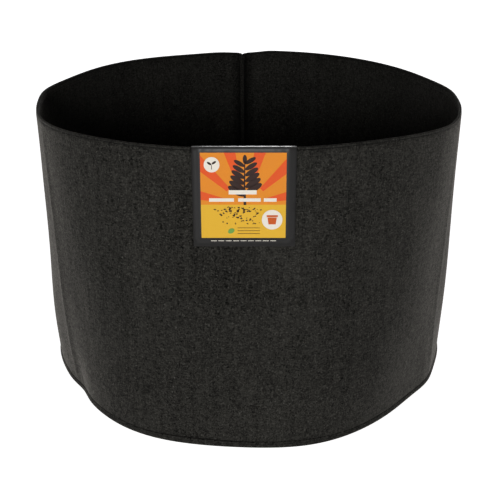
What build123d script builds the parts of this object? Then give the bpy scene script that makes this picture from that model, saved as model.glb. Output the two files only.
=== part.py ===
from build123d import *
import math
import os

# Fabric grow bag: one strip of needle-punched felt sewn into a round wall, a felt
# disc sewn on as the base, and a folded card that sits over the rim at the front.
# The origin is the centre of the base's underside, +Z is up and the card faces -Y.

# ---- driving dimensions, millimetres ----
BAG_HEIGHT = 457.0
BASE_RADIUS = 343.0
RIM_RADIUS = 342.0
RIM_SHIFT = 12.0
RIM_FLAT = 323.4
BELLY = 2.0
FELT = 2.5

HEM_DEPTH = 12.0
HEM_STITCH_DROP = 4.0
HEM_EDGE_ROUND = 1.6

LIP_HEIGHT = 10.0
LIP_STITCH_HEIGHT = 6.5

SEAM_X = -13.0
SEAM_ALLOWANCE = 14.0
SEAM_SLIT = 0.4
SEAM_STITCH_FROM_WALL = 6.0

THREAD = 0.8

CARD_X = -5.5
CARD_WIDTH = 137.0
CARD_FLAP = 135.5
CARD_BOARD = 0.8
CARD_CLEARANCE = 1.9
CARD_SET_BACK = 0.5
CARD_REST = 0.3
CARD_FOLD_ROUND = 3.0

# Lobes of the soft outline: order, cosine share, sine share of the radius.
RIM_LOBES = ((3, -0.003, -0.026), (4, -0.018, 0.0))
BASE_LOBES = ((4, 0.005, 0.0), (6, 0.009, -0.004))

OUTLINE_POINTS = 72
LOFT_HEIGHTS = (0.0, 0.35 * BAG_HEIGHT, 0.7 * BAG_HEIGHT, BAG_HEIGHT)
SPAN = 1000.0


def lobed_radius(radius, lobes, angle):
    """Radius of a circle with gentle lobes, at one angle."""
    swell = sum(c * math.cos(n * angle) + s * math.sin(n * angle) for n, c, s in lobes)
    return radius * (1 + swell)


def rim_radius(angle):
    """The rim's radius about its own centre, flat behind the card."""
    radius = lobed_radius(RIM_RADIUS, RIM_LOBES, angle)
    towards_front = -math.sin(angle)
    if towards_front > 0:
        radius = min(radius, RIM_FLAT / towards_front)
    return radius


def wall_point(angle, height, grow):
    """A point of the wall's outer face, moved outwards by grow."""
    share = height / BAG_HEIGHT
    base = lobed_radius(BASE_RADIUS - FELT, BASE_LOBES, angle)
    radius = base + share * (rim_radius(angle) - base)
    radius += 4 * BELLY * share * (1 - share) + grow
    return (radius * math.cos(angle), share * RIM_SHIFT + radius * math.sin(angle), height)


def skin(grow):
    """Solid bounded by the wall's outer face moved outwards by grow."""
    outlines = []
    for height in LOFT_HEIGHTS:
        angles = [2 * math.pi * step / OUTLINE_POINTS for step in range(OUTLINE_POINTS)]
        points = [wall_point(angle, height, grow) for angle in angles]
        outlines.append(make_face(Spline(*points, periodic=True)))
    return loft(outlines)


def slab(bottom, top):
    """Everything between two heights."""
    return Pos(0, 0, bottom) * Box(SPAN, SPAN, top - bottom, align=(Align.CENTER, Align.CENTER, Align.MIN))


def rear_slab(x_low, x_high):
    """Everything behind the bag's centre between two planes across X."""
    return Pos(x_low, 0, -1) * Box(
        x_high - x_low, SPAN, BAG_HEIGHT + 2, align=(Align.MIN, Align.MIN, Align.MIN)
    )


def wall_panel(skins):
    """The felt strip: its top turned in as a hem, its two ends turned in at the rear."""
    hem_bottom = BAG_HEIGHT - HEM_DEPTH
    inside = skins["inner"] & slab(FELT - 1, hem_bottom)
    inside += skins["hem_inner"] & slab(hem_bottom, BAG_HEIGHT + 1)
    wall = skins["outer"] & slab(FELT, BAG_HEIGHT + 1)
    wall -= inside
    top_edges = wall.edges().filter_by_position(Axis.Z, BAG_HEIGHT - 0.01, BAG_HEIGHT + 0.01)
    wall = fillet(top_edges, HEM_EDGE_ROUND)
    fin = (skins["hem_inner"] + (skins["inner"] & slab(0, hem_bottom))) - skins["fin_inner"]
    fin &= slab(FELT, BAG_HEIGHT - HEM_EDGE_ROUND)
    fin &= rear_slab(SEAM_X - FELT - SEAM_SLIT / 2, SEAM_X + FELT + SEAM_SLIT / 2)
    wall += fin
    return wall - rear_slab(SEAM_X - SEAM_SLIT / 2, SEAM_X + SEAM_SLIT / 2)


def base_panel(skins):
    """The felt disc, its edge turned up outside the foot of the wall."""
    disc = skins["lip_outer"] & slab(0, LIP_HEIGHT)
    return disc - (skins["outer"] & slab(FELT, LIP_HEIGHT + 1))


def ring_thread(outside, inside, height):
    """One thread lying round the bag between two skins, at one height."""
    return (outside & slab(height - THREAD / 2, height + THREAD / 2)) - inside


def seam_gap():
    """Room for the rear seam where a thread inside the wall meets it."""
    half = FELT + SEAM_SLIT / 2
    return rear_slab(SEAM_X - half, SEAM_X + half)


def side_seam_thread(skins, side):
    """One thread down the rear seam, on the left (-1) or right (+1) face of its fin."""
    face = SEAM_X + side * (FELT + SEAM_SLIT / 2)
    low, high = sorted((face, face + side * THREAD))
    line = skins["seam_row_outer"] - skins["seam_row_inner"]
    line &= slab(FELT + 2 * THREAD, BAG_HEIGHT - HEM_DEPTH)
    return line & rear_slab(low, high)


def label_card():
    """A folded card over the rim: a front flap, a back flap and the fold between."""
    front_top = wall_point(-math.pi / 2, BAG_HEIGHT, 0)[1]
    front_low = wall_point(-math.pi / 2, BAG_HEIGHT - CARD_FLAP, 0)[1]
    lean = math.degrees(math.atan2(front_top - front_low, CARD_FLAP))
    inner_depth = 2 * FELT + 2 * CARD_CLEARANCE
    outer_depth = inner_depth + 2 * CARD_BOARD
    align = (Align.CENTER, Align.CENTER, Align.MAX)
    outer = Pos(0, 0, CARD_REST + CARD_BOARD) * Box(
        CARD_WIDTH, outer_depth, CARD_FLAP + CARD_BOARD, align=align
    )
    inner = Pos(0, 0, CARD_REST) * Box(SPAN, inner_depth, CARD_FLAP * 2, align=align)
    top = CARD_REST + CARD_BOARD
    fold_edges = outer.edges().filter_by(Axis.X).filter_by_position(Axis.Z, top - 0.01, top + 0.01)
    outer = fillet(fold_edges, CARD_FOLD_ROUND)
    inner_edges = inner.edges().filter_by(Axis.X)
    inner_edges = inner_edges.filter_by_position(Axis.Z, CARD_REST - 0.01, CARD_REST + 0.01)
    inner = fillet(inner_edges, CARD_FOLD_ROUND - CARD_BOARD)
    card = outer - inner
    return Pos(CARD_X, front_top + FELT + CARD_SET_BACK, BAG_HEIGHT) * Rot(-lean, 0, 0) * card


def build_parts():
    """Every sub-part, by node name."""
    grows = {
        "outer": 0,
        "inner": -FELT,
        "hem_inner": -2 * FELT,
        "fin_inner": -FELT - SEAM_ALLOWANCE,
        "lip_outer": FELT,
        "hem_needle": THREAD,
        "hem_bobbin": -2 * FELT - THREAD,
        "lip_needle": FELT + THREAD,
        "lip_bobbin": -FELT - THREAD,
        "seam_row_outer": -FELT - SEAM_STITCH_FROM_WALL,
        "seam_row_inner": -FELT - SEAM_STITCH_FROM_WALL - THREAD,
    }
    skins = {name: skin(grow) for name, grow in grows.items()}
    hem_row = BAG_HEIGHT - HEM_STITCH_DROP
    return {
        "wall_panel": wall_panel(skins),
        "base_panel": base_panel(skins),
        "hem_needle_thread": ring_thread(skins["hem_needle"], skins["outer"], hem_row),
        "hem_bobbin_thread": ring_thread(skins["hem_inner"], skins["hem_bobbin"], hem_row) - seam_gap(),
        "side_seam_needle_thread": side_seam_thread(skins, 1),
        "side_seam_bobbin_thread": side_seam_thread(skins, -1),
        "base_seam_needle_thread": ring_thread(
            skins["lip_needle"], skins["lip_outer"], LIP_STITCH_HEIGHT
        ),
        "base_seam_bobbin_thread": ring_thread(
            skins["inner"], skins["lip_bobbin"], LIP_STITCH_HEIGHT
        ) - seam_gap(),
        "label_card": label_card(),
    }


os.makedirs("parts", exist_ok=True)
for name, shape in build_parts().items():
    export_step(shape, f"parts/{name}.step")
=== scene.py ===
import logging
import math
import random
from collections.abc import Callable, Iterable
from dataclasses import dataclass, field
from enum import Enum

import bmesh
import bpy
from mathutils import Matrix, Vector


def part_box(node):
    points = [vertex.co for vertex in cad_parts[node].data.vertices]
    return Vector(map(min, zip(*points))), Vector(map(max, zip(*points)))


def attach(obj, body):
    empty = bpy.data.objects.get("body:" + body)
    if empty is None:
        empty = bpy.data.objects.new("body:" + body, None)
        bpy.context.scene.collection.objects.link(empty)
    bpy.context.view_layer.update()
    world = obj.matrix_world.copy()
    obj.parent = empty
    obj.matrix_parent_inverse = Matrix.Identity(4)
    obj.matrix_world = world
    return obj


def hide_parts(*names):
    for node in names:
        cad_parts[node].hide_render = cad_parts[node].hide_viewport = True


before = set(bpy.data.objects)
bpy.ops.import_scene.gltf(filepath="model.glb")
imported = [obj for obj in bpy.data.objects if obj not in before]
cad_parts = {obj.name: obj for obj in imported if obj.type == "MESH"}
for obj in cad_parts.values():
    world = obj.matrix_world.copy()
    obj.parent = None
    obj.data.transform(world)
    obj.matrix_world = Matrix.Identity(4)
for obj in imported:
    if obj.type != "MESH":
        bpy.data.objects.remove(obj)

LOG = logging.getLogger("grow_bag")
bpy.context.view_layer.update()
BAG = "bag"
CARD = "card"
MM = 0.001
FRONT = -math.pi / 2
# Attribute for how far the felt is darkened along its stitching: crushed felt, with painted shade
# of the hem groove and the rear seam's valley.
CRUSHED_AND_SHADED = "crushed_and_shaded"


class Hold(Enum):
    """How a sheet of felt is held once it is sewn up."""

    WALL = "stretched"
    BASE = "laid"


class Slot(Enum):
    """The material slots that the pieces stand for."""

    FELT = "felt"
    THREAD = "thread"
    CARD = "card"


def display(red: float, green: float, blue: float) -> tuple[float, float, float, float]:
    """Turns a colour as a screen shows it, 0 to 1, into scene-linear RGBA.

    Args:
        red: Red share.
        green: Green share.
        blue: Blue share.

    Returns:
        The linear colour with full alpha.
    """
    return tuple(part**2.2 for part in (red, green, blue)) + (1.0,)


# ---------------------------------------------------------------- finishes


class NodeSheet:
    """A node tree being written: adds nodes, sets their sockets and links them."""

    def __init__(self, tree: bpy.types.NodeTree) -> None:
        """Starts with an emptied tree.

        Args:
            tree: The material's or group's node tree.
        """
        self.tree = tree
        tree.nodes.clear()

    def add(self, kind: str, links: dict | None = None, **settings) -> bpy.types.Node:
        """Adds one node.

        Args:
            kind: The node's Blender type name.
            links: Socket name or index to a value, or to another node's output.
            settings: Properties of the node itself.

        Returns:
            The new node.
        """
        node = self.tree.nodes.new(kind)
        for name, value in settings.items():
            setattr(node, name, value)
        for socket, value in (links or {}).items():
            if isinstance(value, bpy.types.NodeSocket):
                self.tree.links.new(value, node.inputs[socket])
            else:
                node.inputs[socket].default_value = value
        return node

    def ramp(self, factor: bpy.types.NodeSocket, low: float, high: float) -> bpy.types.NodeSocket:
        """Maps a value from low..high to 0..1, clamped.

        Args:
            factor: The value to map.
            low: What becomes 0.
            high: What becomes 1.

        Returns:
            The mapped value.
        """
        node = self.add("ShaderNodeMapRange", {"Value": factor, "From Min": low, "From Max": high})
        return node.outputs["Result"]

    def blend(
        self,
        factor: bpy.types.NodeSocket | float,
        first: bpy.types.NodeSocket | tuple,
        second: bpy.types.NodeSocket | tuple,
    ) -> bpy.types.NodeSocket:
        """Mixes two colours.

        Args:
            factor: Share of the second colour.
            first: Colour at 0.
            second: Colour at 1.

        Returns:
            The mixed colour.
        """
        node = self.add("ShaderNodeMix", {0: factor, 6: first, 7: second}, data_type="RGBA")
        return node.outputs[2]

    def maths(
        self,
        operation: str,
        first: bpy.types.NodeSocket | float,
        second: bpy.types.NodeSocket | float,
    ) -> bpy.types.NodeSocket:
        """One sum on two values.

        Args:
            operation: The math node's operation.
            first: First value.
            second: Second value.

        Returns:
            The result.
        """
        return self.add("ShaderNodeMath", {0: first, 1: second}, operation=operation).outputs[0]


def new_group(name: str, inputs: dict[str, float], outputs: dict[str, str]) -> bpy.types.NodeTree:
    """Makes an empty shader node group with named sockets.

    Args:
        name: The group's name.
        inputs: Input name to its default value.
        outputs: Output name to its socket type.

    Returns:
        The group's tree, still without nodes.
    """
    tree = bpy.data.node_groups.new(name, "ShaderNodeTree")
    for label, value in inputs.items():
        socket = tree.interface.new_socket(label, in_out="INPUT", socket_type="NodeSocketFloat")
        socket.default_value = value
    for label, kind in outputs.items():
        tree.interface.new_socket(label, in_out="OUTPUT", socket_type=kind)
    return tree


class FibreGroup:
    """Node group: the mottled grey fibres, cloudy patches and pull streaks of needled felt."""

    def __init__(self) -> None:
        """Builds the group once."""
        sockets = {"Fibre Scale": 420.0, "Cloud Scale": 9.0, "Streak": 0.10}
        self.tree = new_group(
            "needled_fibre",
            sockets,
            {"Tone": "NodeSocketFloat", "Fleck": "NodeSocketFloat", "Height": "NodeSocketFloat"},
        )
        sheet = NodeSheet(self.tree)
        given = sheet.add("NodeGroupInput")
        place = sheet.add("ShaderNodeTexCoord").outputs["Object"]
        fine = self.noise(sheet, place, given.outputs["Fibre Scale"], 5.0, 0.62, 0.5)
        half_scale = sheet.maths("MULTIPLY", given.outputs["Fibre Scale"], 0.42)
        tuft = self.noise(sheet, place, half_scale, 4.0, 0.60, 1.1)
        cloud = self.noise(sheet, place, given.outputs["Cloud Scale"], 3.0, 0.55, 0.3)
        stretched = sheet.add("ShaderNodeMapping", {"Vector": place, "Scale": (95.0, 95.0, 5.0)})
        streak = self.noise(sheet, stretched.outputs["Vector"], 1.0, 3.0, 0.6, 0.2)
        combed = sheet.add("ShaderNodeMapping", {"Vector": place, "Scale": (620.0, 620.0, 130.0)})
        upright = self.noise(sheet, combed.outputs["Vector"], 1.0, 2.0, 0.5, 0.4)
        brushed = sheet.add("ShaderNodeMapping", {"Vector": place, "Scale": (150.0, 150.0, 640.0)})
        level = self.noise(sheet, brushed.outputs["Vector"], 1.0, 2.0, 0.5, 0.4)
        crossing = sheet.maths("MAXIMUM", upright, level)
        pull = sheet.maths("SUBTRACT", sheet.ramp(streak, 0.35, 0.65), 0.5)
        tone = sheet.maths("MULTIPLY", pull, given.outputs["Streak"])
        layers = (
            (sheet.ramp(fine, 0.41, 0.61), 0.30),
            (sheet.ramp(tuft, 0.40, 0.60), 0.24),
            (sheet.ramp(crossing, 0.48, 0.66), 0.34),
            (sheet.ramp(cloud, 0.32, 0.68), 0.14),
        )
        for mask, weight in layers:
            tone = sheet.maths("ADD", tone, sheet.maths("MULTIPLY", mask, weight))
        fleck = sheet.ramp(fine, 0.60, 0.74)
        height = sheet.maths("ADD", fine, sheet.maths("MULTIPLY", tuft, 0.8))
        sheet.add("NodeGroupOutput", {"Tone": tone, "Fleck": fleck, "Height": height})

    @staticmethod
    def noise(
        sheet: NodeSheet,
        place: bpy.types.NodeSocket,
        scale: bpy.types.NodeSocket | float,
        detail: float,
        roughness: float,
        distortion: float,
    ) -> bpy.types.NodeSocket:
        """Adds a noise texture.

        Args:
            sheet: The tree to add to.
            place: Coordinates.
            scale: Noise scale, per metre.
            detail: Octaves.
            roughness: Weight of the finer octaves.
            distortion: How far the pattern is pulled about.

        Returns:
            The noise value.
        """
        sockets = {
            "Vector": place,
            "Scale": scale,
            "Detail": detail,
            "Roughness": roughness,
            "Distortion": distortion,
        }
        return sheet.add("ShaderNodeTexNoise", sockets).outputs[0]


@dataclass(frozen=True)
class FeltFinish:
    """Charcoal needled felt: dark and light fibres, and a nap that looks pale from the side.

    Args:
        name: The material's name.
        dark: Display grey of the darkest fibres.
        light: Display grey of the lightest fibres.
        streak: How strongly the felt shows its direction of pull.
        painted_sheen_grey: Display grey of the painted sheen at its lightest, seen edge on.
        painted_sheen_grip: How near to edge on the painted sheen starts to show.
        sheen_and_painted_sheen: Sheen weight.
        fleck: Share of the lightest single fibres.
        crush_shade: How far the felt darkens along its stitching, partly crushed felt and partly
            painted shade of the hem groove and the rear seam's valley.
    """

    name: str
    dark: float = 0.006
    light: float = 0.24
    streak: float = 0.12
    painted_sheen_grey: float = 0.62
    painted_sheen_grip: float = 4.1
    sheen_and_painted_sheen: float = 0.04
    fleck: float = 0.65
    crush_shade: float = 0.85

    def make(self, fibre: FibreGroup) -> bpy.types.Material:
        """Builds the material.

        Args:
            fibre: The fibre group that it draws on.

        Returns:
            The felt material.
        """
        material = bpy.data.materials.new(self.name)
        material.use_nodes = True
        sheet = NodeSheet(material.node_tree)
        group = sheet.add("ShaderNodeGroup", node_tree=fibre.tree)
        group.inputs["Streak"].default_value = self.streak
        tone = group.outputs["Tone"]
        low, high, painted_sheen_grey = self.dark, self.light, self.painted_sheen_grey
        light_wool = display(high, high * 0.985, high * 0.93)
        grey = sheet.blend(tone, display(low, low, low * 0.97), light_wool)
        fleck = sheet.maths("MULTIPLY", group.outputs["Fleck"], self.fleck)
        grey = sheet.blend(fleck, grey, display(high * 1.6, high * 1.58, high * 1.5))
        # Painted sheen: a paler, mottled grey blended into the base colour towards edge on,
        # standing in for the felt's sheen.
        painted_sheen_dark = display(painted_sheen_grey * 0.4, painted_sheen_grey * 0.39, painted_sheen_grey * 0.38)
        sheen_and_painted_sheen = sheet.blend(tone, painted_sheen_dark, display(painted_sheen_grey, painted_sheen_grey * 0.97, painted_sheen_grey * 0.93))
        facing = sheet.add("ShaderNodeLayerWeight", {"Blend": 0.5}).outputs["Facing"]
        grey = sheet.blend(sheet.maths("POWER", facing, self.painted_sheen_grip), grey, sheen_and_painted_sheen)
        # Painted shade: near black along the hem stitches and beside the rear seam, partly crushed
        # felt and partly the shade of the groove and the seam's valley.
        crushed_and_shaded = sheet.add("ShaderNodeAttribute", attribute_name=CRUSHED_AND_SHADED).outputs["Fac"]
        crush_shade_share = sheet.maths("MULTIPLY", crushed_and_shaded, self.crush_shade)
        grey = sheet.blend(crush_shade_share, grey, display(0.01, 0.01, 0.01))
        bump = sheet.add(
            "ShaderNodeBump",
            {"Height": group.outputs["Height"], "Strength": 0.9, "Distance": 0.0016},
        )
        rough = sheet.maths("ADD", sheet.maths("MULTIPLY", group.outputs["Tone"], 0.1), 0.86)
        surface = sheet.add(
            "ShaderNodeBsdfPrincipled",
            {
                "Base Color": grey,
                "Roughness": rough,
                "Specular IOR Level": 0.03,
                "Sheen Weight": self.sheen_and_painted_sheen,
                "Sheen Roughness": 0.42,
                "Sheen Tint": (0.62, 0.60, 0.57, 1.0),
                "Normal": bump.outputs["Normal"],
            },
        )
        sheet.add("ShaderNodeOutputMaterial", {"Surface": surface.outputs[0]})
        return material


@dataclass(frozen=True)
class ThreadFinish:
    """Black bonded sewing thread with a fine twist.

    Args:
        name: The material's name.
        grey: Display grey of the thread.
    """

    name: str
    grey: float = 0.03

    def make(self) -> bpy.types.Material:
        """Builds the material.

        Returns:
            The thread material.
        """
        material = bpy.data.materials.new(self.name)
        material.use_nodes = True
        sheet = NodeSheet(material.node_tree)
        place = sheet.add("ShaderNodeTexCoord").outputs["Object"]
        twist = FibreGroup.noise(sheet, place, 2600.0, 2.0, 0.5, 0.0)
        colour = sheet.blend(
            twist, display(self.grey, self.grey, self.grey), display(*(self.grey * 1.9,) * 3)
        )
        bump = sheet.add("ShaderNodeBump", {"Height": twist, "Strength": 0.4, "Distance": 0.0003})
        surface = sheet.add(
            "ShaderNodeBsdfPrincipled",
            {
                "Base Color": colour,
                "Roughness": 0.60,
                "Specular IOR Level": 0.12,
                "Normal": bump.outputs["Normal"],
            },
        )
        sheet.add("ShaderNodeOutputMaterial", {"Surface": surface.outputs[0]})
        return material


class VarnishGroup:
    """Node group: faint print grain, handling scuffs and the waviness of varnished board."""

    def __init__(self) -> None:
        """Builds the group once."""
        self.tree = new_group(
            "board_varnish",
            {"Grain Scale": 900.0, "Scuff Scale": 60.0},
            {"Grain": "NodeSocketFloat", "Scuff": "NodeSocketFloat", "Height": "NodeSocketFloat"},
        )
        sheet = NodeSheet(self.tree)
        given = sheet.add("NodeGroupInput")
        place = sheet.add("ShaderNodeTexCoord").outputs["Object"]
        grain = FibreGroup.noise(sheet, place, given.outputs["Grain Scale"], 2.0, 0.5, 0.0)
        scuff = FibreGroup.noise(sheet, place, given.outputs["Scuff Scale"], 5.0, 0.6, 0.8)
        worn = sheet.ramp(scuff, 0.52, 0.72)
        height = sheet.maths("ADD", sheet.maths("MULTIPLY", grain, 0.3), scuff)
        sheet.add("NodeGroupOutput", {"Grain": grain, "Scuff": worn, "Height": height})


@dataclass(frozen=True)
class InkFinish:
    """A printed colour under satin varnish, or bare board.

    Args:
        name: The material's name.
        colour: Display red, green and blue.
        variation: How much lighter the colour gets in its worn patches.
        roughness: Roughness where it is clean.
        shine: Specular level.
    """

    name: str
    colour: tuple[float, float, float]
    variation: float = 0.05
    roughness: float = 0.50
    shine: float = 0.2

    def make(self, varnish: VarnishGroup) -> bpy.types.Material:
        """Builds the material.

        Args:
            varnish: The varnish group that it draws on.

        Returns:
            The ink material.
        """
        material = bpy.data.materials.new(self.name)
        material.use_nodes = True
        sheet = NodeSheet(material.node_tree)
        group = sheet.add("ShaderNodeGroup", node_tree=varnish.tree)
        clean = display(*self.colour)
        paler = display(*(min(1.0, part + self.variation) for part in self.colour))
        colour = sheet.blend(sheet.maths("MULTIPLY", group.outputs["Grain"], 0.45), clean, paler)
        colour = sheet.blend(sheet.maths("MULTIPLY", group.outputs["Scuff"], 0.3), colour, paler)
        rough = sheet.maths(
            "ADD", sheet.maths("MULTIPLY", group.outputs["Scuff"], 0.2), self.roughness
        )
        bump = sheet.add(
            "ShaderNodeBump",
            {"Height": group.outputs["Height"], "Strength": 0.08, "Distance": 0.001},
        )
        surface = sheet.add(
            "ShaderNodeBsdfPrincipled",
            {
                "Base Color": colour,
                "Roughness": rough,
                "Specular IOR Level": self.shine,
                "Normal": bump.outputs["Normal"],
            },
        )
        sheet.add("ShaderNodeOutputMaterial", {"Surface": surface.outputs[0]})
        return material


# ---------------------------------------------------------------- mesh helpers


def finish_piece(
    bm: bmesh.types.BMesh,
    name: str,
    materials: list[bpy.types.Material],
    body: str,
    slot: Slot,
    smooth: bool = True,
) -> bpy.types.Object:
    """Turns a bmesh into a piece that rides on a body.

    Args:
        bm: The finished mesh, in row-frame metres. It is freed.
        name: The piece's name.
        materials: Its materials, in face index order.
        body: The body that carries it.
        slot: The material slot that it stands for. Not used.
        smooth: Whether its faces are shaded smooth.

    Returns:
        The new object.
    """
    mesh = bpy.data.meshes.new(name)
    for face in bm.faces:
        face.smooth = smooth
    bm.to_mesh(mesh)
    bm.free()
    for material in materials:
        mesh.materials.append(material)
    piece = bpy.data.objects.new(name, mesh)
    bpy.context.scene.collection.objects.link(piece)
    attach(piece, body)
    LOG.info("%s: %d faces on %s", name, len(mesh.polygons), body)
    return piece


def thicken(piece: bpy.types.Object, thickness: float, rim_material: int = 0) -> None:
    """Gives a sheet its thickness, half to each side.

    Args:
        piece: The sheet.
        thickness: Full thickness in metres.
        rim_material: Material index step of the cut edge.
    """
    solid = piece.modifiers.new("thickness", "SOLIDIFY")
    solid.thickness = thickness
    solid.offset = 0.0
    solid.use_rim = True
    solid.material_offset_rim = rim_material


def shaped_grid(
    columns: list[float], rows: list, place: Callable[[float, object], Vector]
) -> bmesh.types.BMesh:
    """A grid laid over a surface.

    Args:
        columns: Surface coordinate of each column.
        rows: Surface coordinate, of any kind, of each row.
        place: Gives the point for a column's and a row's coordinate.

    Returns:
        A new bmesh holding the sheet.
    """
    bm = bmesh.new()
    across, along = len(columns) - 1, len(rows) - 1
    bmesh.ops.create_grid(bm, x_segments=across, y_segments=along, size=0.5)
    for vertex in bm.verts:
        column = round((vertex.co.x + 0.5) * across)
        row = round((vertex.co.y + 0.5) * along)
        vertex.co = place(columns[column], rows[row])
    return bm


def mark_crushed_and_shaded(piece: bpy.types.Object, share: Callable[[Vector], float]) -> None:
    """Records at each point how far its material darkens the felt: crushed felt along the
    stitching, with painted shade of the hem groove and the rear seam's valley.

    Args:
        piece: The felt piece.
        share: Gives 0 to 1 for a point's place.
    """
    layer = piece.data.attributes.new(CRUSHED_AND_SHADED, "FLOAT", "POINT")
    for index, vertex in enumerate(piece.data.vertices):
        layer.data[index].value = share(vertex.co)


def ease(low: float, high: float, value: float) -> float:
    """Smooth step of a value from 0 at low to 1 at high."""
    share = min(1.0, max(0.0, (value - low) / (high - low)))
    return share * share * (3 - 2 * share)


def spread(start: float, stop: float, count: int) -> list[float]:
    """Evenly spaced numbers from start to stop, both included."""
    return [start + (stop - start) * step / (count - 1) for step in range(count)]


# ---------------------------------------------------------------- the bag's form


@dataclass(frozen=True)
class Lobe:
    """One gentle swell of an outline: how many lobes, and their share of the radius."""

    order: int
    cosine: float
    sine: float


@dataclass(frozen=True)
class Crease:
    """A fold line left by storage: its angle, how far it stands out and how wide it is."""

    angle: float
    rise: float
    width: float


def turn_between(first: float, second: float) -> float:
    """The shorter way round from the second angle to the first, in radians."""
    return math.atan2(math.sin(first - second), math.cos(first - second))


@dataclass(frozen=True)
class Hollow:
    """A broad dent or swell: centre angle and height, half-widths and how far it stands out."""

    angle: float
    height: float
    across: float
    tall: float
    depth: float

    def at(self, angle: float, height: float, radius: float) -> float:
        """How far it stands out at one place.

        Args:
            angle: Direction from the bag's axis.
            height: Height above the floor.
            radius: The wall's radius.

        Returns:
            The distance outwards.
        """
        away = turn_between(math.radians(self.angle), angle) * radius / self.across
        up = (height - self.height) / self.tall
        return self.depth * math.exp(-0.5 * (away * away + up * up))


@dataclass(frozen=True)
class Lift:
    """A stretch of rim that stands a little high: angle, spread each way in degrees, and rise."""

    angle: float
    before: float
    after: float
    rise: float

    def at(self, angle: float) -> float:
        """The rise at one angle.

        Args:
            angle: Direction from the bag's axis, in radians.

        Returns:
            The rise.
        """
        away = math.degrees(turn_between(angle, math.radians(self.angle)))
        width = self.after if away > 0 else self.before
        return self.rise * math.exp(-0.5 * (away / width) ** 2)


@dataclass(frozen=True)
class Wave:
    """A slow wave round the wall: lobes, phase, slant with height and size."""

    order: int
    phase: float
    slant: float
    size: float


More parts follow.
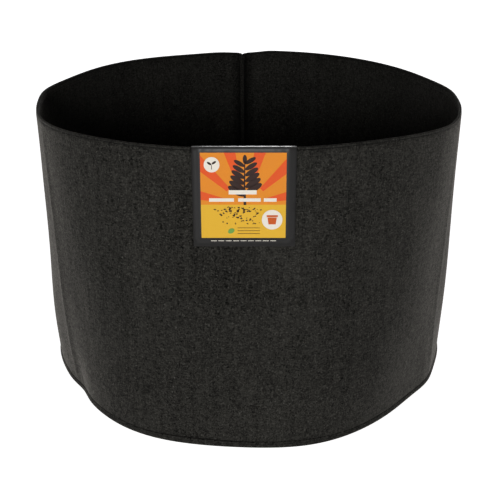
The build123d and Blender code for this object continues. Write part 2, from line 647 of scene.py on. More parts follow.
@dataclass(frozen=True)
class BagForm:
    """The soft round form that the wall, base and threads all follow.

    The radii are those of the wall's outer face. Angles run anticlockwise from +X seen from above.

    Args:
        height: Height of the rim.
        base_radius: Mean radius at the foot.
        rim_radius: Mean radius of the rim.
        rim_shift: How far the rim's centre stands behind the foot's.
        rim_flat: Distance of the flat stretch behind the card from the rim's centre.
        rim_softness: How softly the rim turns into that flat stretch.
        belly: How far the wall bulges at half height.
        felt: Thickness of the felt.
        rim_lobes: Unevenness of the rim's outline.
        base_lobes: Unevenness of the foot's outline.
        creases: Fold lines left by storage.
        loose_above: Share of the height above which the hem holds the wall tight.
        held: Share of the dents and waves that is left where the wall is held.
        hollows: Shallow dents, which fade out where the wall is held.
        swells: Swells and dents that keep their full size.
        waves: Slow waves round the wall.
        lifts: Where the rim stands high or low.
    """

    height: float
    base_radius: float = 0.3405
    rim_radius: float = 0.342
    rim_shift: float = 0.012
    rim_flat: float = 0.3234
    rim_softness: float = 0.0006
    belly: float = 0.002
    felt: float = 0.0025
    rim_lobes: tuple[Lobe, ...] = (Lobe(3, -0.003, -0.026), Lobe(4, -0.018, 0.0))
    base_lobes: tuple[Lobe, ...] = (Lobe(4, 0.005, 0.0), Lobe(6, 0.009, -0.004))
    creases: tuple[Crease, ...] = (
        Crease(-148.5, 0.0034, 0.010),
        Crease(-27.0, 0.0022, 0.010),
    )
    loose_above: float = 0.87
    held: float = 0.05
    hollows: tuple[Hollow, ...] = (
        Hollow(-61.0, 0.30, 0.030, 0.12, -0.0022),
        Hollow(-72.0, 0.17, 0.050, 0.10, 0.0016),
        Hollow(-112.0, 0.26, 0.035, 0.10, -0.0016),
        Hollow(-135.0, 0.13, 0.060, 0.09, 0.0018),
        Hollow(20.0, 0.25, 0.050, 0.12, -0.0020),
        Hollow(60.0, 0.20, 0.060, 0.15, 0.0020),
        Hollow(130.0, 0.28, 0.060, 0.10, -0.0022),
        Hollow(160.0, 0.15, 0.050, 0.10, 0.0018),
    )
    swells: tuple[Hollow, ...] = (
        Hollow(-166.0, 0.085, 0.060, 0.075, 0.0060),
        Hollow(-120.0, 0.000, 0.080, 0.055, 0.0058),
        Hollow(-75.0, 0.000, 0.060, 0.050, 0.0042),
        Hollow(-29.0, 0.000, 0.032, 0.060, 0.0060),
        Hollow(-145.0, 0.000, 0.022, 0.045, -0.0050),
        Hollow(-14.0, 0.125, 0.060, 0.080, 0.0034),
        Hollow(177.0, 0.457, 0.046, 0.150, 0.0070),
        Hollow(-163.0, 0.430, 0.045, 0.070, -0.0022),
        Hollow(3.0, 0.457, 0.046, 0.150, 0.0058),
    )
    waves: tuple[Wave, ...] = (
        Wave(7, 0.4, 5.0, 0.0007),
        Wave(11, 2.1, -7.0, 0.0005),
        Wave(17, 4.0, 9.0, 0.0003),
    )
    lifts: tuple[Lift, ...] = (
        Lift(82.0, 26.0, 3.5, 0.0042),
        Lift(100.0, 3.0, 5.0, 0.0014),
        Lift(142.0, 16.0, 16.0, 0.0022),
        Lift(-58.0, 12.0, 9.0, 0.0034),
        Lift(-32.0, 6.0, 6.0, -0.0030),
        Lift(-128.0, 9.0, 10.0, 0.0020),
    )

    @staticmethod
    def lobed(radius: float, lobes: Iterable[Lobe], angle: float) -> float:
        """Radius of a circle with lobes.

        Args:
            radius: The circle's mean radius.
            lobes: Its lobes.
            angle: Direction from its centre.

        Returns:
            The radius in that direction.
        """
        swell = sum(
            lobe.cosine * math.cos(lobe.order * angle) + lobe.sine * math.sin(lobe.order * angle)
            for lobe in lobes
        )
        return radius * (1 + swell)

    def rim(self, angle: float) -> float:
        """The rim's radius about its own centre, flat behind the card.

        Args:
            angle: Direction from the rim's centre.

        Returns:
            The radius in that direction.
        """
        radius = self.lobed(self.rim_radius, self.rim_lobes, angle)
        towards_front = -math.sin(angle)
        if towards_front > 0:
            past_flat = (radius - self.rim_flat / towards_front) / self.rim_softness
            if past_flat > -30:
                radius -= self.rim_softness * math.log1p(math.exp(min(past_flat, 60.0)))
        return radius

    def relief(self, angle: float, height: float) -> float:
        """How far the wall stands out of its smooth form at one place.

        Args:
            angle: Direction from the bag's axis.
            height: Height above the floor.

        Returns:
            The distance outwards.
        """
        share = height / self.height
        loose = self.held
        if share < self.loose_above:
            loose = max(self.held, math.sin(math.pi * min(1.0, share * 1.15)))
        total = sum(
            wave.size * math.sin(wave.order * angle + wave.phase + wave.slant * share)
            for wave in self.waves
        )
        total += sum(hollow.at(angle, height, self.base_radius) for hollow in self.hollows)
        total *= loose
        total += sum(swell.at(angle, height, self.base_radius) for swell in self.swells)
        fade = ease(0.0, 0.08, share) * (1 - 0.7 * ease(0.75, 1.0, share))
        for crease in self.creases:
            away = abs(turn_between(math.radians(crease.angle), angle)) * self.base_radius
            ridge = math.exp(-away / crease.width) - 0.45 * math.exp(-away / (3 * crease.width))
            total += crease.rise * ridge * fade
        return total

    def spot(self, angle: float, height: float, grow: float) -> Vector:
        """A point of the wall.

        Args:
            angle: Direction from the bag's axis.
            height: Height above the floor.
            grow: Distance outwards from the wall's outer face.

        Returns:
            The point in the row frame.
        """
        share = height / self.height
        base = self.lobed(self.base_radius, self.base_lobes, angle)
        radius = base + share * (self.rim(angle) - base)
        radius += 4 * self.belly * share * (1 - share) + self.relief(angle, height) + grow
        return Vector(
            (radius * math.cos(angle), share * self.rim_shift + radius * math.sin(angle), height)
        )


# ---------------------------------------------------------------- felt pieces


@dataclass
class FeltWall:
    """The wall: one felt strip, its top turned in as a hem, its ends turned in at the rear.

    Args:
        form: The bag's form.
        felt: The felt material.
        hem_depth: How far the turned-in top reaches down.
        hem_row_drop: How far the hem's stitches run below the rim.
        hem_groove: How deep they pull the felt in.
        hem_groove_width: Half-width of that groove.
        hem_squeeze: How much each layer gives in the fold.
        seam_x: Where the rear seam stands, across the bag.
        seam_row: Distance of the seam's stitches from the strip's ends.
        allowance: Straight part of each turned-in end.
        corner: Radius at which each end turns inwards.
        slit: Half the gap between the two ends.
        seam_shade_width: Half-width of the crushed felt beside the seam.
        fin_lean: How far the turned-in ends lean over at the rim.
        seam_dip: How far the rim sinks at the seam.
        girth_columns: Mesh columns round the bag.
        foot_rows: Heights of the mesh rows near the floor.
        rim_rows: Depths of the mesh rows below the fold.
    """

    form: BagForm
    felt: bpy.types.Material
    hem_depth: float = 0.012
    hem_row_drop: float = 0.0036
    hem_groove: float = 0.0010
    hem_groove_width: float = 0.0012
    hem_squeeze: float = 0.0003
    seam_x: float = -0.013
    seam_row: float = 0.0015
    allowance: float = 0.0060
    corner: float = 0.0095
    slit: float = 0.0002
    # seam_shade_width: Half-width of the darkened band beside the seam, crushed felt with painted
    # shade of its valley.
    seam_shade_width: float = 0.0100
    fin_lean: float = -0.0060
    seam_dip: float = 0.0010
    girth_columns: int = 620
    foot_rows: tuple[float, ...] = (0.0027, 0.005, 0.008, 0.012, 0.018)
    rim_rows: tuple[float, ...] = (
        *(0.013, 0.009, 0.006, 0.0045, 0.0035),
        *(0.0027, 0.002, 0.0014, 0.0008, 0.0003),
    )
    seam_angle: float = field(init=False)
    girth: float = field(init=False)

    def __post_init__(self) -> None:
        """Works out the seam's angle and the strip's run round the bag."""
        rear = self.form.spot(math.pi / 2, self.form.height, 0).y
        self.seam_angle = math.pi / 2 + math.asin(-self.seam_x / rear)
        self.girth = 2 * math.pi * self.form.base_radius

    @property
    def turned(self) -> float:
        """Run of one turned-in end, straight part and corner."""
        return self.allowance + self.corner * math.pi / 2

    @property
    def length(self) -> float:
        """Whole length of the strip."""
        return 2 * self.turned + self.girth

    def from_seam(self, angle: float) -> float:
        """Distance round the wall from the rear seam, signed."""
        return turn_between(angle, self.seam_angle) * self.form.base_radius

    def rim_dip(self, angle: float) -> float:
        """How far the rim sinks at the rear seam and undulates elsewhere."""
        dip = self.seam_dip * math.exp(-abs(self.from_seam(angle)) / 0.010)
        return dip - sum(lift.at(angle) for lift in self.form.lifts)

    def point(self, run: float, height: float, depth: float) -> Vector:
        """A point of the sewn-up strip.

        Args:
            run: Distance along the strip from its end right of the rear seam.
            height: Height above the floor.
            depth: Distance inwards from the strip's outer face.

        Returns:
            The point in the row frame.
        """
        side = 1.0 if run <= self.length / 2 else -1.0
        run = min(run, self.length - run)
        gap = (self.slit + self.corner) / self.form.base_radius
        sink = height / self.form.height
        if run >= self.turned:
            share = (run - self.turned) / (self.length / 2 - self.turned)
            angle = self.seam_angle + side * (gap + share * (math.pi - gap))
            spot = self.form.spot(angle, height, -depth)
            spot.z -= sink**6 * self.rim_dip(angle)
            return spot
        if run < self.allowance:
            inward = self.corner + self.allowance - run
            across = self.slit + depth
        else:
            turn = (run - self.allowance) / self.corner
            radius = max(self.corner - depth, 0.0003)
            inward = self.corner - radius * math.sin(turn)
            across = self.slit + self.corner - radius * math.cos(turn)
        lean = self.fin_lean * (0.35 + 0.65 * sink) * (inward / self.turned) ** 2
        origin = self.form.spot(self.seam_angle, height, 0)
        along = Vector((-math.sin(self.seam_angle), math.cos(self.seam_angle), 0))
        inwards = Vector((-math.cos(self.seam_angle), -math.sin(self.seam_angle), 0))
        spot = origin + along * (side * across - lean) + inwards * inward
        spot.z -= sink**6 * self.rim_dip(self.seam_angle)
        return spot

    def groove(self, height: float) -> float:
        """Depth that the hem's stitches pull the felt in, at one height."""
        away = (height - (self.form.height - self.hem_row_drop)) / self.hem_groove_width
        return self.hem_groove * math.exp(-0.5 * away * away)

    def crush_and_shade(self, spot: Vector) -> float:
        """How far the felt is darkened at a point along the hem's stitches and the rear seam:
        crushed felt, with painted shade of the groove and the seam's valley.

        Args:
            spot: A point of the strip.

        Returns:
            0 to 1.
        """
        share = spot.z / self.form.height
        angle = math.atan2(spot.y - share * self.form.rim_shift, spot.x)
        # Painted shade: darkest in the hem's stitch groove and in the wall beside the rear seam,
        # fading out on the turned-in ends.
        hem = (self.groove(spot.z + share**6 * self.rim_dip(angle)) / self.hem_groove) ** 3
        away = self.from_seam(angle) / self.seam_shade_width
        inward = (self.form.spot(angle, spot.z, 0) - spot).length
        free = ease(0.009, 0.014, inward)
        return max(hem, math.exp(-0.5 * away * away) * (1 - free))

    def columns(self) -> list[float]:
        """Lays out the mesh's columns.

        Returns:
            The run of each column, close together at the turned-in ends.
        """
        flap = spread(0.0, self.allowance, 6)
        turn = spread(self.allowance, self.turned, 6)[1:]
        side = [self.length - run for run in reversed(flap + turn)]
        middle = spread(self.turned, self.length - self.turned, self.girth_columns)[1:-1]
        return flap + turn + middle + side

    def rows(self) -> list[tuple[float, float]]:
        """Lays out the mesh's rows, up the outside, over the fold and down the inside.

        Returns:
            The height and the depth of the felt's middle at each row.
        """
        mid = self.form.felt / 2
        fold_radius = mid - self.hem_squeeze
        top = self.form.height - mid - fold_radius
        heights = list(self.foot_rows) + spread(0.028, top - 0.020, 30)
        heights += [top - drop for drop in self.rim_rows]
        outside = [(height, mid + self.groove(height)) for height in heights]
        fold = [
            (
                top + fold_radius * math.sin(turn),
                mid + fold_radius * (1 - math.cos(turn)) + self.groove(top) * abs(math.cos(turn)),
            )
            for turn in spread(0.0, math.pi, 7)
        ]
        bottom = self.form.height - self.hem_depth
        inner_depth = mid + 2 * fold_radius
        inside = [
            (height, inner_depth - 0.5 * self.groove(height))
            for height in spread(top - 0.0008, bottom, 10)
        ]
        return outside + fold + inside

    def build(self) -> bpy.types.Object:
        """Builds the strip.

        Returns:
            The wall piece.
        """
        bm = shaped_grid(self.columns(), self.rows(), lambda run, row: self.point(run, *row))
        piece = finish_piece(bm, "felt_wall", [self.felt], BAG, Slot.FELT)
        mark_crushed_and_shaded(piece, self.crush_and_shade)
        thicken(piece, self.form.felt)
        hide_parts("wall_panel")
        return piece


@dataclass
class FeltBase:
    """The base: a felt disc whose edge is turned up outside the foot of the wall.

    Args:
        form: The bag's form.
        felt: The felt material.
        lip: How high the turned-up edge reaches.
        squeeze: How far the stitches press it into the wall.
        slack_angle: Where it is pressed least.
        slack_width: How wide that slack stretch is, in radians.
        turn_radius: Radius at which the disc turns up.
        around: Mesh columns round the bag.
    """

    form: BagForm
    felt: bpy.types.Material
    lip: float = 0.010
    squeeze: float = 0.0018
    slack_angle: float = math.radians(-102)
    slack_width: float = 0.22
    turn_radius: float = 0.0020
    around: int = 540

    def edge(self, angle: float, height: float, depth: float) -> Vector:
        """A point on the turned-up lip.

        Args:
            angle: Direction from the bag's axis.
            height: Height above the floor.
            depth: Distance inwards from the lip's outer face.

        Returns:
            The point in the row frame.
        """
        away = turn_between(angle, self.slack_angle) / self.slack_width
        squeeze = self.squeeze * (1 - 0.55 * math.exp(-0.5 * away**2))
        squeeze *= ease(self.turn_radius, self.lip, height)
        return self.form.spot(angle, height, self.form.felt - depth - squeeze)

    def lip_height(self, angle: float) -> float:
        """Height of the lip's raw edge, a little uneven."""
        return self.lip + 0.0009 * math.sin(3 * angle + 0.6) + 0.0006 * math.sin(13 * angle)

    def rows(self) -> list[tuple[float, float]]:
        """Lays out the mesh's rows, down the lip, round the turn and inwards.

        Returns:
            Each row's share and turn: the share is 1 at the lip's raw edge, 0 all round the
            turn and then a negative share of the way inwards.
        """
        lip = [(share, 0.0) for share in spread(1.0, 0.0, 6)]
        turn = [(0.0, angle) for angle in spread(0.0, math.pi / 2, 5)[1:]]
        floor = [(-share, 0.0) for share in spread(0.0, 1.0, 34)[1:-1]]
        return lip + turn + floor

    def point(self, angle: float, row: tuple[float, float]) -> Vector:
        """A point of the base's middle surface.

        Args:
            angle: Direction from the bag's axis.
            row: A row's share and turn.

        Returns:
            The point in the row frame.
        """
        share, turn = row
        mid = self.form.felt / 2
        low = mid + self.turn_radius
        if share > 0 or (share == 0 and turn == 0):
            return self.edge(angle, low + share * (self.lip_height(angle) - low), mid)
        if share == 0:
            drop = self.turn_radius * (1 - math.cos(turn))
            height = low - self.turn_radius * math.sin(turn)
            spot = self.edge(angle, low, mid + drop)
            spot.z = height
            return spot
        rim = self.edge(angle, low, mid + self.turn_radius)
        reach = 1 + share
        rumple = math.sin(9 * rim.x * reach + 1.3) * math.sin(8 * rim.y * reach + 0.4)
        rumple += 0.5 * math.sin(23 * rim.x * reach - 12 * rim.y * reach)
        lift = 0.0016 * max(0.0, rumple) * ease(0.0, 0.12, -share)
        return Vector((rim.x * reach, rim.y * reach, mid + lift))

    def build(self) -> bpy.types.Object:
        """Builds the disc and its lip.

        Returns:
            The base piece.
        """
        angles = spread(0.0, 2 * math.pi, self.around + 1)
        bm = shaped_grid(angles, self.rows(), self.point)
        bmesh.ops.remove_doubles(bm, verts=bm.verts, dist=1e-6)
        centre_reach = 1.5 * self.form.base_radius / 33
        loop = [
            edge
            for edge in bm.edges
            if edge.is_boundary and edge.verts[0].co.to_2d().length < centre_reach
        ]
        hub = bmesh.ops.edgeloop_fill(bm, edges=loop)["faces"]
        bmesh.ops.poke(bm, faces=hub)
        bmesh.ops.recalc_face_normals(bm, faces=bm.faces)
        piece = finish_piece(bm, "felt_base", [self.felt], BAG, Slot.FELT)
        mark_crushed_and_shaded(piece, lambda spot: 0.0)
        thicken(piece, self.form.felt)
        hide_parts("base_panel")
        return piece


# ---------------------------------------------------------------- stitching


@dataclass
class StitchRow:
    """One thread of a lock-stitched seam, as it shows on one face of the felt.

    Args:
        name: The piece's name.
        node: The CAD node that it stands for.
        thread: The thread material.
        place: Gives the thread's middle at a distance along the row.
        outward: Gives the direction away from the felt there.
        start: Distance at which the row starts.
        stop: Distance at which it stops.
        pitch: Length of one stitch and the gap after it.
        stitch: Length of one stitch.
        radius: Its half-width.
        seed: Seed of its small irregularities.
    """

    name: str
    node: str
    thread: bpy.types.Material
    place: Callable[[float], Vector]
    outward: Callable[[float], Vector]
    start: float
    stop: float
    pitch: float = 0.005
    stitch: float = 0.0043
    radius: float = 0.00046
    seed: int = 1

    def template(self) -> bpy.types.Mesh:
        """Makes one rounded stitch lying along X.

        Returns:
            A mesh of unit half-length and half-widths.
        """
        bm = bmesh.new()
        turn = Matrix.Rotation(math.pi / 2, 4, "Y")
        bmesh.ops.create_uvsphere(bm, u_segments=6, v_segments=5, radius=1.0, matrix=turn)
        mesh = bpy.data.meshes.new("stitch_template")
        bm.to_mesh(mesh)
        bm.free()
        return mesh

    def build(self) -> bpy.types.Object:
        """Builds the row, one rounded stitch at each pitch.

        Returns:
            The thread piece.
        """
        chance = random.Random(self.seed)
        single = self.template()
        bm = bmesh.new()
        count = max(1, round((self.stop - self.start) / self.pitch))
        step = (self.stop - self.start) / count
        span = self.stitch / 2
        for index in range(count):
            middle = self.start + (index + 0.5) * step
            along = (self.place(middle + span / 2) - self.place(middle - span / 2)).normalized()
            across = self.outward(middle).cross(along).normalized()
            along = (along + across * chance.uniform(-0.10, 0.06)).normalized()
            across = self.outward(middle).cross(along).normalized()
            out = along.cross(across).normalized()
            centre = self.place(middle) + out * chance.uniform(-0.1, 0.1) * MM
            axes = Matrix((along, across, out)).transposed().to_4x4()
            shape = Matrix.Diagonal((span, self.radius, self.radius * 0.9, 1.0))
            stitch = single.copy()
            stitch.transform(Matrix.Translation(centre) @ axes @ shape)
            bm.from_mesh(stitch)
            bpy.data.meshes.remove(stitch)
        bpy.data.meshes.remove(single)
        piece = finish_piece(bm, self.name, [self.thread], BAG, Slot.THREAD)
        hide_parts(self.node)
        return piece


@dataclass
class Stitching:
    """All the bag's threads: hem, rear seam and base seam, two threads each.

    Args:
        wall: The wall that they sew.
        base: The base that they sew.
        thread: The thread material.
        base_row: Height of the base seam's stitches.
    """

    wall: FeltWall
    base: FeltBase
    thread: bpy.types.Material
    base_row: float = 0.0068

    def radial(self, run: float) -> Vector:
        """Outward direction of the wall.

        Args:
            run: Distance along the strip.

        Returns:
            A unit vector.
        """
        height = self.wall.form.height / 2
        outer = self.wall.point(run, height, 0)
        inner = self.wall.point(run, height, self.wall.form.felt)
        return (outer - inner).normalized()

    def around(self, name: str, node: str, height: float, depth: float, inside: bool) -> StitchRow:
        """A row round the wall.

        Args:
            name: The piece's name.
            node: The CAD node that it stands for.
            height: Height of the row.
            depth: Depth of the thread's middle below the wall's outer face.
            inside: Whether it shows on the inner face.

        Returns:
            The row, not yet built.
        """
        wall = self.wall
        sign = -1.0 if inside else 1.0
        margin = wall.turned + (0.006 if inside else 0.0)
        return StitchRow(
            name,
            node,
            self.thread,
            lambda run: wall.point(run, height, depth),
            lambda run: self.radial(run) * sign,
            margin,
            wall.length - margin,
            seed=len(name),
        )

    def hem_rows(self) -> list[StitchRow]:
        """The two threads of the hem.

        Returns:
            The outer and the inner row, not yet built.
        """
        wall = self.wall
        row = wall.form.height - wall.hem_row_drop
        outer = wall.hem_groove - 0.0001
        inner = 2 * (wall.form.felt - wall.hem_squeeze) - 0.5 * wall.hem_groove
        return [
            self.around("hem_stitches_outside", "hem_needle_thread", row, outer, False),
            self.around("hem_stitches_inside", "hem_bobbin_thread", row, inner, True),
        ]

    def side_rows(self) -> list[StitchRow]:
        """The two threads of the rear seam, one on each face of the turned-in ends.

        Returns:
            The two rows, not yet built.
        """
        wall = self.wall
        from_tip = wall.allowance - wall.seam_row
        low, high = 0.006, wall.form.height - 0.014
        rows = []
        named = (
            ("side_seam_stitches_left", "side_seam_bobbin_thread", from_tip),
            ("side_seam_stitches_right", "side_seam_needle_thread", wall.length - from_tip),
        )
        for name, node, run in named:

            def place(height: float, run: float = run) -> Vector:
                """The thread's middle on one face of the turned-in end."""
                return wall.point(run, height, wall.form.felt)

            def outward(height: float, run: float = run) -> Vector:
                """Direction away from that face."""
                return wall.point(run, height, wall.form.felt) - wall.point(run, height, 0)

            row = StitchRow(name, node, self.thread, place, outward, low, high, seed=len(name))
            rows.append(row)
        return rows

    def base_rows(self) -> list[StitchRow]:
        """The two threads of the base seam, on the lip and inside the wall.

        Returns:
            The two rows, not yet built.
        """
        radius = self.base.form.base_radius

        def place(arc: float) -> Vector:
            """The thread's middle on the lip."""
            return self.base.edge(arc / radius, self.base_row, 0.0)

        def outward(arc: float) -> Vector:
            """Direction away from the lip."""
            return Vector((math.cos(arc / radius), math.sin(arc / radius), 0))

        lip_row = StitchRow(
            "base_stitches_outside",
            "base_seam_needle_thread",
            self.thread,
            place,
            outward,
            0.0,
            2 * math.pi * radius,
            pitch=0.006,
            stitch=0.0050,
            radius=0.00034,
            seed=7,
        )
        inside = self.around(
            "base_stitches_inside",
            "base_seam_bobbin_thread",
            self.base_row,
            self.wall.form.felt,
            True,
        )
        return [lip_row, inside]

    def build(self) -> list[bpy.types.Object]:
        """Builds every row and gives back their pieces."""
        rows = self.hem_rows() + self.side_rows() + self.base_rows()
        return [row.build() for row in rows]


# ---------------------------------------------------------------- the card


@dataclass
class Print:
    """One ink on the card: thin closed shapes at one level above the board.

    Shapes are placed in card coordinates: across from the card's middle, to the right, and
    down from its top edge.

    Args:
        name: The piece's name.
        ink: Its material.
        level: How many steps it lies above the board.
        face: Card coordinates to the row frame.
        thickness: Thickness of the ink.
        step: Height of one level.
        bm: The shapes so far, flat.
    """

    name: str
    ink: bpy.types.Material
    level: int
    face: Matrix
    thickness: float = 0.00005
    step: float = 0.00006
    bm: bmesh.types.BMesh = field(default_factory=bmesh.new)

    def bar(self, across: float, down: float, width: float, height: float) -> None:
        """Adds a rectangle about its centre."""
        shape = Matrix.Translation((across, -down, 0)) @ Matrix.Diagonal((width, height, 1, 1))
        bmesh.ops.create_grid(self.bm, x_segments=1, y_segments=1, size=0.5, matrix=shape)

    def panel(self, left: float, top: float, right: float, bottom: float) -> None:
        """Adds a rectangle given by its sides."""
        self.bar((left + right) / 2, (top + bottom) / 2, right - left, bottom - top)

    def disc(self, across: float, down: float, wide: float, tall: float, turn: float = 0.0) -> None:
        """Adds an ellipse.

        Args:
            across: Place of its middle across the card.
            down: Place of its middle down the card.
            wide: Half its width.
            tall: Half its height.
            turn: How far it is turned, in radians.
        """
        shape = Matrix.Translation((across, -down, 0)) @ Matrix.Rotation(turn, 4, "Z")
        shape @= Matrix.Diagonal((wide, tall, 1, 1))
        bmesh.ops.create_circle(self.bm, cap_ends=True, segments=40, radius=1.0, matrix=shape)

    def crumb(self, across: float, down: float, size: float, chance: random.Random) -> None:
        """Adds a small ragged crumb of earth.

        Args:
            across: Place of its middle across the card.
            down: Place of its middle down the card.
            size: Half its height.
            chance: Gives its irregularities.
        """
        turn = Matrix.Rotation(chance.uniform(-0.5, 0.5), 4, "Z")
        shape = Matrix.Translation((across, -down, 0)) @ turn
        shape @= Matrix.Diagonal((size * 1.6, size, 1, 1))
        made = bmesh.ops.create_circle(self.bm, cap_ends=True, segments=11, radius=1.0)
        for vertex in made["verts"]:
            vertex.co *= chance.uniform(0.6, 1.2)
        bmesh.ops.transform(self.bm, matrix=shape, verts=made["verts"])

    def stroke(self, points: list[tuple[float, float]], start: float, stop: float) -> None:
        """Adds a tapering line through points.

        Args:
            points: Places along the line, across and down.
            start: Width at its start.
            stop: Width at its end.
        """
        last = len(points) - 1
        sheet = bmesh.ops.create_grid(self.bm, x_segments=last, y_segments=1, size=0.5)
        for vertex in sheet["verts"]:
            index = round((vertex.co.x + 0.5) * last)
            side = round(vertex.co.y * 2)
            here = Vector(points[index])
            ahead = Vector(points[min(index + 1, last)]) - Vector(points[max(index - 1, 0)])
            normal = Vector((-ahead.y, ahead.x)).normalized()
            width = start + (stop - start) * index / last
            spot = here + normal * side * width / 2
            vertex.co = Vector((spot.x, -spot.y, 0))

    def clip(self, left: float, top: float, right: float, bottom: float) -> None:
        """Cuts away everything outside a window.

        Args:
            left: Its left side.
            top: Its top side.
            right: Its right side.
            bottom: Its bottom side.
        """
        sides = (
            ((left, 0, 0), (-1, 0, 0)),
            ((right, 0, 0), (1, 0, 0)),
            ((0, -top, 0), (0, 1, 0)),
            ((0, -bottom, 0), (0, -1, 0)),
        )
        for spot, normal in sides:
            geometry = self.bm.verts[:] + self.bm.edges[:] + self.bm.faces[:]
            bmesh.ops.bisect_plane(
                self.bm, geom=geometry, plane_co=spot, plane_no=normal, clear_outer=True
            )

    def build(self) -> bpy.types.Object:
        """Gives the shapes their thickness and lays them on the card's front.

        Returns:
            The ink piece.
        """
        bmesh.ops.recalc_face_normals(self.bm, faces=self.bm.faces)
        flat = [face for face in self.bm.faces if face.normal.z < 0]
        bmesh.ops.reverse_faces(self.bm, faces=flat)
        top = bmesh.ops.extrude_face_region(self.bm, geom=self.bm.faces[:])["geom"]
        risen = [item for item in top if isinstance(item, bmesh.types.BMVert)]
        bmesh.ops.translate(self.bm, verts=risen, vec=(0, 0, self.thickness))
        lift = Matrix.Translation((0, 0, self.level * self.step))
        bmesh.ops.transform(self.bm, matrix=self.face @ lift, verts=self.bm.verts)
        bmesh.ops.recalc_face_normals(self.bm, faces=self.bm.faces)
        return finish_piece(self.bm, self.name, [self.ink], CARD, Slot.CARD, smooth=False)


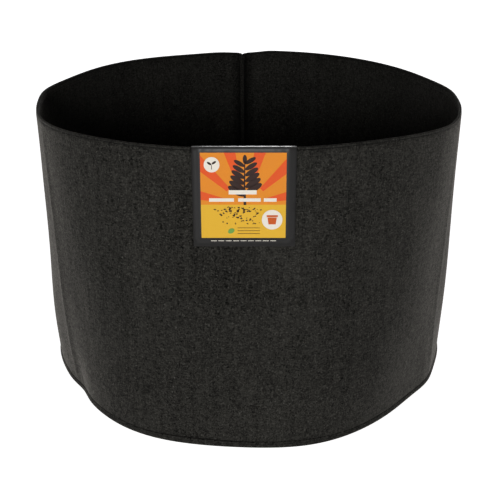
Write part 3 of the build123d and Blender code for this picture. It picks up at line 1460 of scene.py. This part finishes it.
@dataclass
class LabelCard:
    """The folded card over the rim and what is printed on its front.

    Args:
        form: The bag's form.
        inks: The card's materials, by plain name.
        board: Thickness of the board.
        clearance: Gap between each flap and the felt.
        set_back: How far the fold's middle stands behind the rim's.
        rest: Gap between the fold and the rim.
        fold: Radius of the fold's corners.
        roll: How far down the front starts to lean back towards the fold.
        roll_in: How far it leans back.
        window: Left, top, right and bottom of the printed field.
        horizon: Where its sky meets its earth.
        stem: Where the sprig stands, across the card.
    """

    form: BagForm
    inks: dict[str, bpy.types.Material]
    board: float = 0.0008
    clearance: float = 0.0019
    set_back: float = 0.0005
    rest: float = 0.0003
    fold: float = 0.0026
    roll: float = 0.0068
    roll_in: float = 0.0006
    window: tuple[float, float, float, float] = (-0.0575, 0.0072, 0.0555, 0.1242)
    horizon: float = 0.0776
    stem: float = 0.001
    place: Matrix = field(init=False)
    width: float = field(init=False)
    flap: float = field(init=False)
    half_depth: float = field(init=False)

    def __post_init__(self) -> None:
        """Takes the card's size and place from its node and the wall's slope."""
        low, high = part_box("label_card")
        self.width = high[0] - low[0]
        middle = (high[0] + low[0]) / 2
        self.half_depth = self.form.felt + self.clearance + self.board / 2
        smooth_top = self.form.rim_shift - self.form.rim_flat
        drop = high[2] - low[2]
        share = 1 - drop / self.form.height
        base = self.form.lobed(self.form.base_radius, self.form.base_lobes, FRONT)
        belly = 4 * self.form.belly * share * (1 - share)
        lower = share * self.form.rim_shift - (base + share * (self.form.rim_flat - base) + belly)
        lean = math.atan2(smooth_top - lower, drop)
        self.flap = drop
        self.place = Matrix.Translation(
            (middle, smooth_top + self.form.felt + self.set_back, self.form.height)
        ) @ Matrix.Rotation(-lean, 4, "X")

    @property
    def top(self) -> float:
        """Height of the board's middle over the rim, in the card's own frame."""
        return self.rest + self.board / 2

    def section(self) -> list[tuple[float, float]]:
        """Lays out the folded board's middle line, front flap first.

        Returns:
            The depth and height of each point, in the card's own frame.
        """
        low = self.top + self.board / 2 - self.flap
        tilt = math.atan(2 * self.roll_in / (self.roll - self.fold))
        reach = self.half_depth - self.roll_in
        corner = reach - self.fold * math.cos(tilt)
        start = self.top - self.fold * (1 - math.sin(tilt))
        bend = self.top - self.roll
        front = [(-self.half_depth, height) for height in spread(low, bend, 9)]
        for share in spread(0, 1, 7)[1:-1]:
            depth = self.half_depth - self.roll_in * share**2
            front.append((-depth, bend + (start - bend) * share))
        rise = [
            (-corner - self.fold * math.cos(turn), self.top - self.fold * (1 - math.sin(turn)))
            for turn in spread(tilt, math.pi / 2, 7)
        ]
        front += rise
        return front + [(-depth, height) for depth, height in reversed(front)]

    def build_board(self) -> bpy.types.Object:
        """Builds the folded board, its cut edges showing the paper core.

        Returns:
            The board piece.
        """

        def place(across: float, row: tuple[float, float]) -> Vector:
            """A point of the board's middle surface."""
            return self.place @ Vector((across, row[0], row[1]))

        columns = spread(-self.width / 2, self.width / 2, 13)
        bm = shaped_grid(columns, self.section(), place)
        bmesh.ops.recalc_face_normals(bm, faces=bm.faces)
        faces = [self.inks["board"], self.inks["core"]]
        piece = finish_piece(bm, "card_board", faces, CARD, Slot.CARD)
        thicken(piece, self.board, rim_material=1)
        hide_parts("label_card")
        return piece

    def front(self) -> Matrix:
        """Card coordinates to the row frame.

        Returns:
            A frame with its origin at the middle of the front's top edge, lying on the front.
        """
        out = self.half_depth + self.board / 2
        origin = self.place @ Matrix.Translation((0, -out, self.top + self.board / 2))
        return origin @ Matrix.Rotation(math.pi / 2, 4, "X")

    def print_on(self, name: str, ink: str, level: int) -> Print:
        """Starts one ink on the front."""
        return Print(name, self.inks[ink], level, self.front())

    def build_ground(self) -> list[Print]:
        """The coloured ground: warm sky with plain rays over pale earth.

        Returns:
            The sky, the earth and the rays.
        """
        left, top, right, bottom = self.window
        sky = self.print_on("print_sky", "orange", 1)
        sky.panel(left, top, right, self.horizon)
        earth = self.print_on("print_earth", "yellow", 1)
        earth.panel(left, self.horizon, right, bottom)
        rays = self.print_on("print_rays", "red", 2)
        for turn in spread(math.radians(12), math.radians(168), 6):
            near, far = (
                (self.stem + reach * math.cos(turn), self.horizon - reach * math.sin(turn))
                for reach in (0.030, 0.095)
            )
            rays.stroke([near, far], 0.006, 0.019)
        rays.clip(left, top, right, self.horizon)
        return [sky, earth, rays]

    def build_sprig(self) -> list[Print]:
        """A plain leafy sprig in silhouette, growing out of speckled earth.

        Returns:
            The sprig with its earth, one ink.
        """
        chance = random.Random(11)
        sprig = self.print_on("print_sprig", "bark", 3)
        sprig.stroke([(self.stem, 0.078), (0.0004, 0.050), (self.stem, 0.018)], 0.0036, 0.0012)
        sprig.disc(self.stem, 0.0160, 0.0028, 0.0060)
        for share in spread(0.0, 1.0, 6):
            down = 0.0640 - 0.0400 * share
            leaf = 0.0125 - 0.0045 * share
            for side in (-1, 1):
                across = self.stem + side * 0.92 * leaf
                lift = 0.0018 * side + 0.55 * leaf
                sprig.disc(across, down - lift, leaf, 0.36 * leaf, side * 0.55)
        for _ in range(90):
            size = chance.uniform(0.0005, 0.0012)
            across = chance.triangular(-0.040, 0.026, -0.004)
            sprig.crumb(across, chance.triangular(0.0795, 0.108, 0.082), size, chance)
        return [sprig]

    def build_panels(self) -> list[Print]:
        """White bars where a title would be, two badges and small plain marks.

        Returns:
            The white ink, the sprout, the pot and the leaf.
        """
        pale = self.print_on("print_white_marks", "white", 5)
        pale.bar(-0.0020, 0.0605, 0.0370, 0.0058)
        for middle, width in ((-0.0300, 0.0330), (0.0070, 0.0300), (0.0345, 0.0170)):
            pale.bar(middle, 0.0710, width, 0.0048)
        pale.disc(-0.0425, 0.0232, 0.0103, 0.0103)
        pale.disc(0.0373, 0.0985, 0.0138, 0.0138)
        for index in range(9):
            pale.bar(-0.0410 + 0.0100 * index, 0.1283, 0.0080, 0.0008)
        sprout = self.print_on("print_sprout_mark", "bark", 6)
        sprout.stroke([(-0.0425, 0.0295), (-0.0425, 0.0235)], 0.0010, 0.0007)
        sprout.disc(-0.0456, 0.0215, 0.0034, 0.0015, -0.6)
        sprout.disc(-0.0394, 0.0205, 0.0034, 0.0015, 0.6)
        for down in (0.1100, 0.1140, 0.1180):
            sprout.bar(0.0060, down, 0.0300, 0.0006)
        pot = self.print_on("print_pot_mark", "pot", 6)
        pot.bar(0.0373, 0.0935, 0.0150, 0.0028)
        pot.stroke([(0.0373, 0.0955), (0.0373, 0.1050)], 0.0125, 0.0095)
        leaf = self.print_on("print_leaf_mark", "green", 6)
        leaf.disc(-0.0175, 0.1143, 0.0046, 0.0034, 0.5)
        return [pale, sprout, pot, leaf]

    def build(self) -> list[bpy.types.Object]:
        """Builds the board and every ink.

        Returns:
            The card's pieces.
        """
        prints = self.build_ground() + self.build_sprig() + self.build_panels()
        return [self.build_board()] + [layer.build() for layer in prints]


# ---------------------------------------------------------------- studio


@dataclass(frozen=True)
class Softbox:
    """One soft round studio light.

    Args:
        name: The light's name.
        place: Where it stands.
        target: What it points at.
        size: Its diameter.
        power: Its power in watts.
    """

    name: str
    place: tuple[float, float, float]
    target: tuple[float, float, float]
    size: float
    power: float

    def build(self) -> None:
        """Adds the light."""
        data = bpy.data.lights.new(self.name, "AREA")
        data.shape = "DISK"
        data.size = self.size
        data.energy = self.power
        lamp = bpy.data.objects.new(self.name, data)
        lamp.location = self.place
        aim = Vector(self.target) - Vector(self.place)
        lamp.rotation_euler = aim.to_track_quat("-Z", "Y").to_euler()
        bpy.context.scene.collection.objects.link(lamp)


@dataclass
class Studio:
    """Pale floor, soft light and the camera.

    Args:
        world: Strength of the light from all round.
        backdrop_shine: How bright the backdrop is in reflections.
        floor_glow: How much the floor shines of itself, to stay white.
        lens: Focal length, in millimetres.
        eye: Where the camera stands.
        look_down: How far it looks down, in degrees.
        lights: The soft lights.
    """

    world: float = 0.02
    backdrop_shine: float = 0.8
    floor_glow: float = 0.96
    lens: float = 57.6
    eye: tuple[float, float, float] = (0.0022, -1.3124, 0.7632)
    look_down: float = 24.284
    lights: tuple[Softbox, ...] = (
        Softbox("front_softbox", (-0.5, -6.0, 1.55), (0, 0, 0.2), 1.7, 150.0),
        Softbox("rear_softbox", (0.6, 6.0, 1.2), (0, 0, 0.2), 1.7, 80.0),
        Softbox("left_reflector", (-2.2, -1.8, 0.30), (0, 0, 0.2), 0.5, 4.0),
    )

    def build_floor(self) -> None:
        """Adds the pale floor."""
        bm = bmesh.new()
        bmesh.ops.create_grid(bm, x_segments=1, y_segments=1, size=12.0)
        bmesh.ops.translate(bm, verts=bm.verts, vec=(0, 0, -0.0006))
        mesh = bpy.data.meshes.new("studio_floor")
        bm.to_mesh(mesh)
        bm.free()
        material = bpy.data.materials.new("pale_floor")
        material.use_nodes = True
        surface = material.node_tree.nodes["Principled BSDF"]
        surface.inputs["Base Color"].default_value = (0.92, 0.92, 0.92, 1.0)
        surface.inputs["Roughness"].default_value = 0.9
        surface.inputs["Emission Color"].default_value = (1.0, 1.0, 1.0, 1.0)
        surface.inputs["Emission Strength"].default_value = self.floor_glow
        mesh.materials.append(material)
        floor = bpy.data.objects.new("studio_floor", mesh)
        bpy.context.scene.collection.objects.link(floor)

    def build_camera(self) -> None:
        """Adds the camera at a standing viewer's angle."""
        data = bpy.data.cameras.new("camera")
        data.lens = self.lens
        data.sensor_width = 36.0
        camera = bpy.data.objects.new("camera", data)
        camera.location = self.eye
        camera.rotation_euler = (math.radians(90 - self.look_down), 0, 0)
        bpy.context.scene.collection.objects.link(camera)
        bpy.context.scene.camera = camera

    def build(self) -> None:
        """Builds the whole studio."""
        scene = bpy.context.scene
        scene.view_settings.view_transform = "Standard"
        scene.world = bpy.data.worlds.new("studio")
        scene.world.use_nodes = True
        sheet = NodeSheet(scene.world.node_tree)
        path = sheet.add("ShaderNodeLightPath")
        glossy = sheet.maths("MULTIPLY", path.outputs["Is Glossy Ray"], self.backdrop_shine)
        strength = sheet.maths("MAXIMUM", path.outputs["Is Camera Ray"], glossy)
        strength = sheet.maths("MAXIMUM", strength, self.world)
        white = (1.0, 1.0, 1.0, 1.0)
        sky = sheet.add("ShaderNodeBackground", {"Color": white, "Strength": strength})
        sheet.add("ShaderNodeOutputWorld", {"Surface": sky.outputs[0]})
        for light in self.lights:
            light.build()
        self.build_floor()
        self.build_camera()


def card_inks() -> dict[str, bpy.types.Material]:
    """Makes the card's board and every printed colour.

    Returns:
        The materials, by plain name.
    """
    varnish = VarnishGroup()
    finishes = {
        "board": InkFinish("black_board", (0.050, 0.042, 0.038), 0.03, 0.38, 0.30),
        "core": InkFinish("paper_core", (0.62, 0.60, 0.56), roughness=0.85),
        "orange": InkFinish("orange_ink", (0.84, 0.50, 0.12)),
        "yellow": InkFinish("earth_yellow_ink", (0.84, 0.65, 0.17)),
        "red": InkFinish("sunset_red_ink", (0.84, 0.31, 0.11)),
        "bark": InkFinish("bark_ink", (0.16, 0.09, 0.07)),
        "white": InkFinish("white_ink", (0.88, 0.85, 0.80), 0.04),
        "pot": InkFinish("pot_orange_ink", (0.74, 0.32, 0.10)),
        "green": InkFinish("leaf_green_ink", (0.40, 0.58, 0.26)),
    }
    return {name: finish.make(varnish) for name, finish in finishes.items()}


def main() -> None:
    """Builds the bag, its threads, the card and the studio."""
    logging.basicConfig(level=logging.INFO, format="%(relativeCreated)6d ms  %(name)s: %(message)s")
    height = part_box("wall_panel")[1][2]
    form = BagForm(height=height)
    felt = FeltFinish("charcoal_felt").make(FibreGroup())
    thread = ThreadFinish("black_thread").make()
    wall = FeltWall(form, felt)
    base = FeltBase(form, felt)
    wall_piece = wall.build()
    base_piece = base.build()
    threads = Stitching(wall, base, thread).build()
    LabelCard(form, card_inks()).build()
    Studio().build()


if __name__ == "__main__":
    main()
